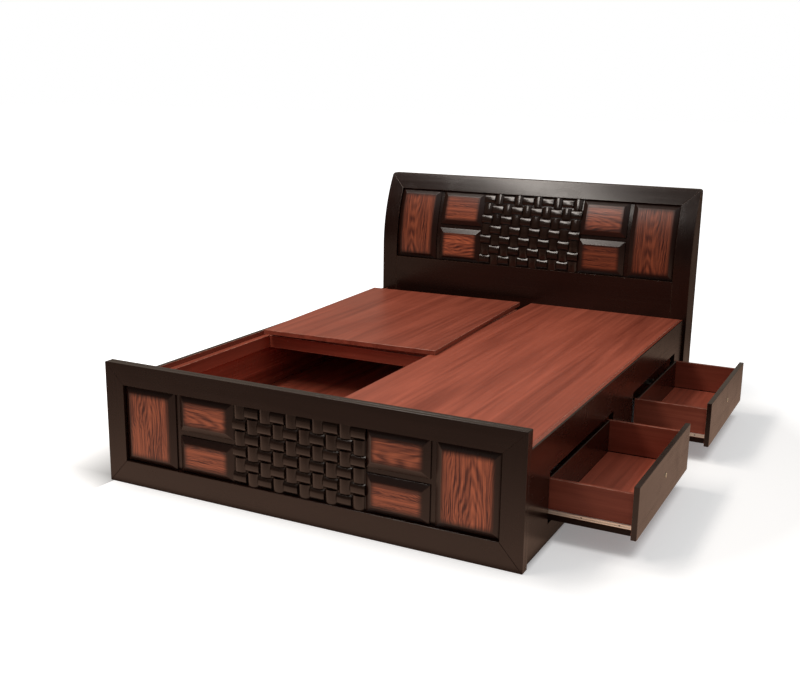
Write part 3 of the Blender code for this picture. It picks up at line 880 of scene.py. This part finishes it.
class BED_OT_panels(bpy.types.Operator):
    """Model the raised-and-fielded panels with their veneer"""

    bl_idname = "bed.panels"
    bl_label = "Raised Panels"

    def execute(self, context):
        for board, front in (("footboard", FOOT_FRONT), ("headboard", HEAD_FRONT)):
            for number, label in enumerate(PANEL_LABELS):
                self.panel(context.scene.bed_panels, board, label, front, number)
        return {"FINISHED"}

    def panel(self, sizes, board, label, front, number):
        """One panel: thin edge, sloping border and flat field, with its grain map."""
        node = "%s_panel_%s" % (board, label)
        low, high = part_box(node)
        back = front + FRAME_DEPTH
        bm = block((low.x, back - sizes.edge, low.z), (high.x, back, high.z))
        face = min(bm.faces, key=lambda item: item.calc_center_median().y)
        inset(bm, face, sizes.border, sizes.field - sizes.edge)
        edges = [edge for edge in bm.edges if all(vert.co.y < back - 0.001 for vert in edge.verts)]
        soften(bm, edges, sizes.ease)
        if board == "headboard":
            slice_bow(bm)
        middle = (low + high) / 2
        half_x = (high.x - low.x) / 2 - sizes.border
        half_z = (high.z - low.z) / 2 - sizes.border
        chart = bm.loops.layers.uv.new("grain")
        rim_wide = bm.loops.layers.uv.new("rim_wide")
        rim_tall = bm.loops.layers.uv.new("rim_tall")
        tone = bm.verts.layers.float.new("tone")
        for vert in bm.verts:
            vert[tone] = PANEL_TONE_AND_SHADE[board][number]
        shift = 0.37 * number + (0.19 if board == "headboard" else 0.0)
        skew = 0.03 * math.sin(2.4 * number + (1.0 if board == "headboard" else 0.0))
        for face in bm.faces:
            for loop in face.loops:
                x = loop.vert.co.x - middle.x
                z = loop.vert.co.z - middle.z
                loop[rim_wide].uv = (x, half_x)
                loop[rim_tall].uv = (z, half_z)
                wide, tall = (x, z) if label.endswith("tall") else (z, x)
                loop[chart].uv = (wide + skew, tall + 0.3 * math.sin(shift * 7.0))
        if board == "headboard":
            bend(bm)
        settle("%s_raised_%s" % (board, label), bm, [veneer()], "frame", [node])


class BED_OT_weave(bpy.types.Operator):
    """Weave the centre panels of both boards"""

    bl_idname = "bed.weave"
    bl_label = "Woven Panels"

    def execute(self, context):
        sizes = context.scene.bed_weave
        self.weave(sizes, "footboard", FOOT_FRONT, sizes.foot_rows)
        self.weave(sizes, "headboard", HEAD_FRONT, sizes.head_rows)
        return {"FINISHED"}

    def strap(self, length, width, sizes):
        """One half-round strap along x, standing on y = 0."""
        bm = bmesh.new()
        place = Matrix.Rotation(math.pi / 2, 4, "X") @ Matrix.Diagonal((length / 2, width / 2, 1.0, 1.0))
        bmesh.ops.create_grid(bm, x_segments=4, y_segments=10, size=1.0, matrix=place)
        for vert in bm.verts:
            along_share = 2 * vert.co.x / length
            across_share = 2 * vert.co.z / width
            arch = 1.0 - abs(across_share) ** 3.2
            vert.co.y = -sizes.shoulder - sizes.crown * arch + sizes.dip * along_share ** 2 * arch
        rim = [edge for edge in bm.edges if edge.is_boundary]
        grown = bmesh.ops.extrude_edge_only(bm, edges=rim)
        for item in grown["geom"]:
            if isinstance(item, bmesh.types.BMVert):
                item.co.y = 0.0
        return bm

    def weave(self, sizes, board, front, rows):
        """All straps of one panel on their ground, trimmed to the panel."""
        node = board + "_weave"
        low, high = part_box(node)
        back = front + FRAME_DEPTH
        ground = back - sizes.ground
        bm = block((low.x, ground, low.z), (high.x, back, high.z))
        slice_bow(bm)
        # The ground keeps tone 0, so it takes the dark strap colour and stays darker than every strap
        tone = bm.verts.layers.float.new("tone")
        chart = bm.loops.layers.uv.new("grain")
        cell_x = (high.x - low.x) / sizes.columns
        cell_z = (high.z - low.z) / rows
        chance = random.Random(rows)
        for row in range(rows):
            for column in range(sizes.columns):
                upright = (row + column) % 2 == 1
                run, span = (cell_z, cell_x) if upright else (cell_x, cell_z)
                strap = self.strap(run * sizes.length, span * sizes.width, sizes)
                own_tone = strap.verts.layers.float.new("tone")
                own_chart = strap.loops.layers.uv.new("grain")
                shade = chance.uniform(0.55, 1.0)
                shift = chance.uniform(0.0, 9.0)
                for vert in strap.verts:
                    vert[own_tone] = shade
                for face in strap.faces:
                    for loop in face.loops:
                        loop[own_chart].uv = (loop.vert.co.z, loop.vert.co.x + shift)
                spot = Vector((low.x + (column + 0.5) * cell_x, ground, low.z + (row + 0.5) * cell_z))
                turn = Matrix.Rotation(math.pi / 2, 4, "Y") if upright else Matrix.Identity(4)
                bmesh.ops.transform(strap, matrix=Matrix.Translation(spot) @ turn, verts=strap.verts)
                merge(bm, strap)
        for point, normal in (
            (low, (-1.0, 0.0, 0.0)),
            (low, (0.0, 0.0, -1.0)),
            (high, (1.0, 0.0, 0.0)),
            (high, (0.0, 0.0, 1.0)),
        ):
            cut(bm, point, normal, True)
            rim = [edge for edge in bm.edges if edge.is_boundary]
            bmesh.ops.holes_fill(bm, edges=rim)
        if board == "headboard":
            bend(bm)
        settle(board + "_woven", bm, [strapping()], "frame", [node])


class BED_OT_runners(bpy.types.Operator):
    """Form the channel runners of the drawers"""

    bl_idname = "bed.runners"
    bl_label = "Drawer Runners"

    def execute(self, context):
        metal = coated_metal("cream_runner", context.scene.bed_finish.runner, 0.75, 0.4)
        for drawer in ("near", "far"):
            coat(("%s_bay_foot_runner" % drawer, "%s_bay_head_runner" % drawer), metal)
            for side, sign in (("foot", -1.0), ("head", 1.0)):
                self.channel(drawer, side, sign, metal)
        return {"FINISHED"}

    def channel(self, drawer, side, sign, metal):
        """Bar with a rolled channel on its outer face and holes in it drawn as thin discs of painted
        shade.
        """
        node = "%s_drawer_%s_runner" % (drawer, side)
        low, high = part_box(node)
        low.z += CHANNEL_FOOT * (high.z - low.z)
        bm = block(low, high)
        face = max(bm.faces, key=lambda item: sign * item.calc_center_median().y)
        inset(bm, face, CHANNEL_LIP)
        inset(bm, face, CHANNEL_EASE, -CHANNEL_DEPTH)
        soften(bm, [edge for edge in bm.edges if edge.calc_face_angle(0.0) > SHARP], CHANNEL_EASE)
        outer = high.y if sign > 0 else low.y
        floor = outer - sign * CHANNEL_DEPTH
        middle = (low.z + high.z) / 2
        turn = Matrix.Rotation(math.pi / 2, 4, "X")
        # Each hole is a thin disc coloured with painted shade
        for share in HOLE_PLACES:
            x = low.x + (high.x - low.x) * share
            made = bmesh.ops.create_cone(
                bm,
                cap_ends=True,
                segments=16,
                radius1=HOLE_RADIUS,
                radius2=HOLE_RADIUS,
                depth=HOLE_DEPTH,
                matrix=Matrix.Translation((x, floor + sign * SEAM, middle)) @ turn,
            )
            for vert in made["verts"]:
                for item in vert.link_faces:
                    item.material_index = 1
        name = "%s_%s_channel" % (drawer, side)
        settle(name, bm, [metal, painted_hole_shade()], drawer + "_drawer", [node])


class BED_OT_locks(bpy.types.Operator):
    """Turn the drawer locks with their cams"""

    bl_idname = "bed.locks"
    bl_label = "Drawer Locks"

    def execute(self, context):
        metal = coated_metal("lock_brass", context.scene.bed_finish.brass, 0.6, 0.3)
        for drawer in ("near", "far"):
            self.lock(drawer, metal)
        return {"FINISHED"}

    def lock(self, drawer, metal):
        """Dished face, plug, key slot and cam of one lock; the key slot is a thin block of painted shade.
        """
        node = drawer + "_drawer_lock"
        joint = next(item for item in frame["joints"] if item["child"] == drawer + "_lock")
        low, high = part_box(node)
        centre = Vector((0.0, joint["pos_m"][1], joint["pos_m"][2]))
        radius = centre.z - low.z
        face = high.x
        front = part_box(drawer + "_drawer_front")
        outer = front[1].x + SEAM
        inner = front[0].x - SEAM
        profile = (
            (face - DISH_DEPTH, 0.0),
            (face - DISH_DEPTH, radius * 0.62),
            (face, radius * 0.7),
            (face, radius * 0.9),
            (face - RIM_EASE, radius),
            (outer, radius),
            (outer, PLUG_RADIUS),
            (inner, PLUG_RADIUS),
            (inner, radius),
            (low.x, radius),
            (low.x, 0.0),
        )
        bm = bmesh.new()
        verts = [bm.verts.new((x, centre.y + r, centre.z)) for x, r in profile]
        edges = [bm.edges.new(pair) for pair in zip(verts, verts[1:])]
        bmesh.ops.spin(
            bm,
            geom=verts + edges,
            cent=centre,
            axis=(1.0, 0.0, 0.0),
            angle=2 * math.pi,
            steps=28,
            use_merge=True,
        )
        bmesh.ops.remove_doubles(bm, verts=bm.verts, dist=1e-6)
        cam = block(
            (low.x + SEAM, centre.y, centre.z - CAM_WIDTH / 2),
            (inner - SEAM, high.y, centre.z + CAM_WIDTH / 2),
        )
        soften(cam, cam.edges[:], CAM_EASE, 1)
        merge(bm, cam)
        # The key slot is a thin block coloured with painted shade
        half = Vector((0.0, KEY_WIDTH / 2, KEY_HEIGHT / 2))
        middle = Vector((face - SEAM, centre.y, centre.z))
        slot = block(middle - half - Vector((DISH_DEPTH, 0.0, 0.0)), middle + half)
        for side in slot.faces:
            side.material_index = 1
        merge(bm, slot)
        settle(drawer + "_lock_set", bm, [metal, painted_hole_shade()], drawer + "_lock", [node])


class BED_OT_studio(bpy.types.Operator):
    """Set up the floor, soft lights, surroundings and camera"""

    bl_idname = "bed.studio"
    bl_label = "Studio"

    def execute(self, context):
        studio = context.scene.bed_studio
        context.scene.view_settings.view_transform = "Standard"
        self.floor(studio)
        self.surroundings(context.scene, studio)
        warm = (1.0, 0.93, 0.86)
        white = (1.0, 1.0, 1.0)
        self.lamp("strip_light", (-1.15, -1.65, 3.3), (-1.15, -1.65, 0.0), (0.6, 2.7), studio.key, warm)
        self.lamp("cross_light", (-1.15, 0.0, 3.3), (-1.15, 0.0, 0.0), (1.4, 0.6), studio.cross, warm)
        self.lamp("ceiling_light", (2.1, -1.3, 3.5), (0.6, -0.4, 0.0), (3.0, 2.6), studio.fill, white)
        self.camera(context.scene, studio)
        return {"FINISHED"}

    def floor(self, studio):
        """Pale floor that keeps the soft shadow."""
        bm = bmesh.new()
        bmesh.ops.create_grid(bm, x_segments=8, y_segments=8, size=40.0)
        mesh = bpy.data.meshes.new("studio_floor")
        bm.to_mesh(mesh)
        bm.free()
        floor = bpy.data.objects.new("studio_floor", mesh)
        floor.location.z = -0.0005
        bpy.context.scene.collection.objects.link(floor)
        mesh.materials.append(self.floor_finish(studio))

    def floor_finish(self, studio):
        """Floor that is white in the picture, with painted shade round the bed and under the drawers, and
        a warmer painted glow in reflections.
        """
        material, tree, shader = principled("studio_floor")
        spot = object_place(tree)
        place = parts(tree, spot)
        lee = self.lee(tree, place)
        clear = self.clear(tree, spot)
        dress(tree, shader, blend(tree, lee, opaque(studio.floor), (0.0, 0.0, 0.0, 1.0)), 0.9, 0.1)
        # Painted light: the floor's added white grows away from the bed and in front of the foot, which
        # leaves painted shade close to the bed
        away = add(tree, "ShaderNodeVectorMath", {0: spot}, operation="LENGTH").outputs["Value"]
        white = spread(tree, away, 1.3, 1.9, studio.glow, 1.0)
        ahead = spread(tree, place["Y"], -1.35, -1.09, 1.0, studio.glow)
        white = calc(tree, "MAXIMUM", white, ahead)
        white = times(tree, white, calc(tree, "SUBTRACT", 1.0, lee))
        shown = times(tree, self.seen(tree), clear)
        inputs = {"Color": (1.0, 1.0, 1.0, 1.0), "Strength": times(tree, shown, white)}
        glow = add(tree, "ShaderNodeEmission", inputs)
        both = add(tree, "ShaderNodeAddShader", {0: shader.outputs[0], 1: glow.outputs[0]})
        # Painted reflection: glossy rays see the floor as a glow in the painted reflection colour, not as
        # it is lit
        strength = times(tree, self.reflected(tree, place), clear)
        inputs = {"Color": opaque(studio.painted_reflection), "Strength": strength}
        painted_reflection = add(tree, "ShaderNodeEmission", inputs)
        glossy = add(tree, "ShaderNodeLightPath").outputs["Is Glossy Ray"]
        inputs = {0: glossy, 1: both.outputs[0], 2: painted_reflection.outputs[0]}
        surface = add(tree, "ShaderNodeMixShader", inputs)
        feed(tree, tree.nodes["Material Output"].inputs["Surface"], surface.outputs[0])
        return material

    def reflected(self, tree, place):
        """Strength of the floor's painted glow in reflections: full by the foot, weaker beside and beyond
        the bed, with painted shade close to its right side.
        """
        near = spread(tree, place["Y"], -2.1, -1.2, 0.3, 1.0)
        beside = spread(tree, place["Y"], -1.1, -0.6, 1.0, 0.56)
        beyond = spread(tree, place["Y"], 0.9, 2.2, 1.0, 0.25)
        close = spread(tree, place["X"], 0.62, 0.8, 0.4, 1.0)
        ahead = spread(tree, place["Y"], -1.12, -1.08, 1.0, 0.0)
        strength = calc(tree, "MAXIMUM", close, ahead)
        for part in (near, beside, beyond):
            strength = times(tree, strength, part)
        return strength

    def lee(self, tree, place):
        """Soft shade on the floor along the left side of the bed."""
        low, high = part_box("left_side_panel")
        apart = calc(tree, "SUBTRACT", low.x, place["X"])
        outside = calc(tree, "GREATER_THAN", apart, 0.0)
        wide = times(tree, spread(tree, apart, 0.0, 0.38, 0.75, 0.0), outside)
        off = calc(tree, "ABSOLUTE", calc(tree, "SUBTRACT", place["Y"], (low.y + high.y) / 2))
        half = (high.y - low.y) / 2
        return times(tree, wide, spread(tree, off, half, half + 0.18, 1.0, 0.0))

    def beneath(self, tree, spot, low, high):
        """1 on the floor straight below a box, fading out around its outline."""
        half = (high - low) / 2
        moved = add(tree, "ShaderNodeVectorMath", {0: spot, 1: (low + high) / 2}, operation="SUBTRACT")
        apart = add(tree, "ShaderNodeVectorMath", {0: moved.outputs[0]}, operation="ABSOLUTE")
        ways = parts(tree, apart.outputs[0])
        wide = spread(tree, ways["X"], half.x - 0.01, half.x + 0.02, 1.0, 0.0)
        long = spread(tree, ways["Y"], half.y - 0.01, half.y + 0.02, 1.0, 0.0)
        return times(tree, wide, long)

    def clear(self, tree, spot):
        """1 on the open floor, 0 beneath the bed and little beneath the drawers; this gives painted shadow
        under the drawers and a soft painted contact shadow round the outlines.
        """
        covered = self.beneath(tree, spot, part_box("left_side_panel")[0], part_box("right_side_panel")[1])
        for board in ("near_drawer_bottom", "far_drawer_bottom"):
            carried = add(tree, "ShaderNodeTexCoord", object=bpy.data.objects[board]).outputs["Object"]
            below = self.beneath(tree, carried, *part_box(board))
            covered = calc(tree, "MAXIMUM", covered, times(tree, below, 0.5))
        return calc(tree, "SUBTRACT", 1.0, covered)

    def seen(self, tree):
        """1 for rays that show the studio in the picture, in metal or in glass."""
        rays = add(tree, "ShaderNodeLightPath").outputs
        shown = calc(tree, "MAXIMUM", rays["Is Camera Ray"], rays["Is Glossy Ray"])
        return calc(tree, "MAXIMUM", shown, rays["Is Transmission Ray"])

    def surroundings(self, scene, studio):
        """Even light all round, shown as white."""
        world = bpy.data.worlds.new("studio")
        world.use_nodes = True
        scene.world = world
        tree = world.node_tree
        background = tree.nodes["Background"]
        rays = add(tree, "ShaderNodeLightPath").outputs
        tint = blend(tree, rays["Is Glossy Ray"], (1.0, 1.0, 1.0, 1.0), (1.0, 0.84, 0.68, 1.0))
        feed(tree, background.inputs["Color"], tint)
        spot = add(tree, "ShaderNodeTexCoord").outputs["Generated"]
        ways = parts(tree, spot)
        above = spread(tree, ways["Z"], 0.6, 0.85, 0.0, 0.12)
        behind = spread(tree, ways["Y"], -0.3, 0.4, 0.05, 0.32)
        low = spread(tree, ways["Z"], 0.0, 0.25, 0.4, 1.0)
        backdrop = calc(tree, "ADD", times(tree, behind, low), above)
        shown = calc(tree, "MAXIMUM", rays["Is Camera Ray"], rays["Is Transmission Ray"])
        shown = calc(tree, "MAXIMUM", shown, times(tree, rays["Is Glossy Ray"], backdrop))
        even = times(tree, rays["Is Diffuse Ray"], studio.sky)
        feed(tree, background.inputs["Strength"], calc(tree, "MAXIMUM", shown, even))

    def lamp(self, name, place, target, size, power, colour):
        """Rectangular soft light aimed at a point."""
        light = bpy.data.lights.new(name, "AREA")
        light.shape = "RECTANGLE"
        light.size = size[0]
        light.size_y = size[1]
        light.energy = power
        light.color = colour
        lamp = bpy.data.objects.new(name, light)
        lamp.location = place
        lamp.rotation_euler = (Vector(target) - Vector(place)).to_track_quat("-Z", "Y").to_euler()
        bpy.context.scene.collection.objects.link(lamp)

    def camera(self, scene, studio):
        """Camera at the viewing angle of the product picture."""
        lens = bpy.data.cameras.new("view_camera")
        lens.sensor_fit = "HORIZONTAL"
        lens.sensor_width = 36.0
        lens.lens = studio.lens
        lens.clip_end = 200.0
        camera = bpy.data.objects.new("view_camera", lens)
        turn = Matrix.Rotation(studio.turn, 4, "Z")
        tilt = Matrix.Rotation(math.pi / 2 + studio.pitch, 4, "X")
        roll = Matrix.Rotation(studio.roll, 4, "Z")
        camera.matrix_world = Matrix.Translation(studio.camera) @ turn @ tilt @ roll
        scene.collection.objects.link(camera)
        scene.camera = camera


class BED_PT_sidebar(bpy.types.Panel):
    """Steps that build the finished bed"""

    bl_idname = "BED_PT_sidebar"
    bl_label = "Storage Bed"
    bl_space_type = "VIEW_3D"
    bl_region_type = "UI"
    bl_category = "Bed"

    def draw(self, context):
        for step in STEPS:
            self.layout.operator(step.bl_idname)
        for group in SETTINGS:
            settings = getattr(context.scene, group)
            box = self.layout.box()
            for name in settings.bl_rna.properties.keys():
                if name not in ("rna_type", "name"):
                    box.prop(settings, name)


STEPS = (
    BED_OT_studio,
    BED_OT_boards,
    BED_OT_platform,
    BED_OT_headboard,
    BED_OT_panels,
    BED_OT_weave,
    BED_OT_runners,
    BED_OT_locks,
)
SETTINGS = {
    "bed_bow": BowSettings,
    "bed_panels": PanelSettings,
    "bed_weave": WeaveSettings,
    "bed_finish": FinishSettings,
    "bed_studio": StudioSettings,
}


def register():
    for name, group in SETTINGS.items():
        bpy.utils.register_class(group)
        setattr(bpy.types.Scene, name, PointerProperty(type=group))
    for step in STEPS:
        bpy.utils.register_class(step)
    bpy.utils.register_class(BED_PT_sidebar)


def unregister():
    bpy.utils.unregister_class(BED_PT_sidebar)
    for step in reversed(STEPS):
        bpy.utils.unregister_class(step)
    for name, group in SETTINGS.items():
        delattr(bpy.types.Scene, name)
        bpy.utils.unregister_class(group)


def main():
    register()
    bpy.ops.bed.studio()
    bpy.ops.bed.boards()
    bpy.ops.bed.platform()
    bpy.ops.bed.headboard()
    bpy.ops.bed.panels()
    bpy.ops.bed.weave()
    bpy.ops.bed.runners()
    bpy.ops.bed.locks()


if __name__ == "__main__":
    main()
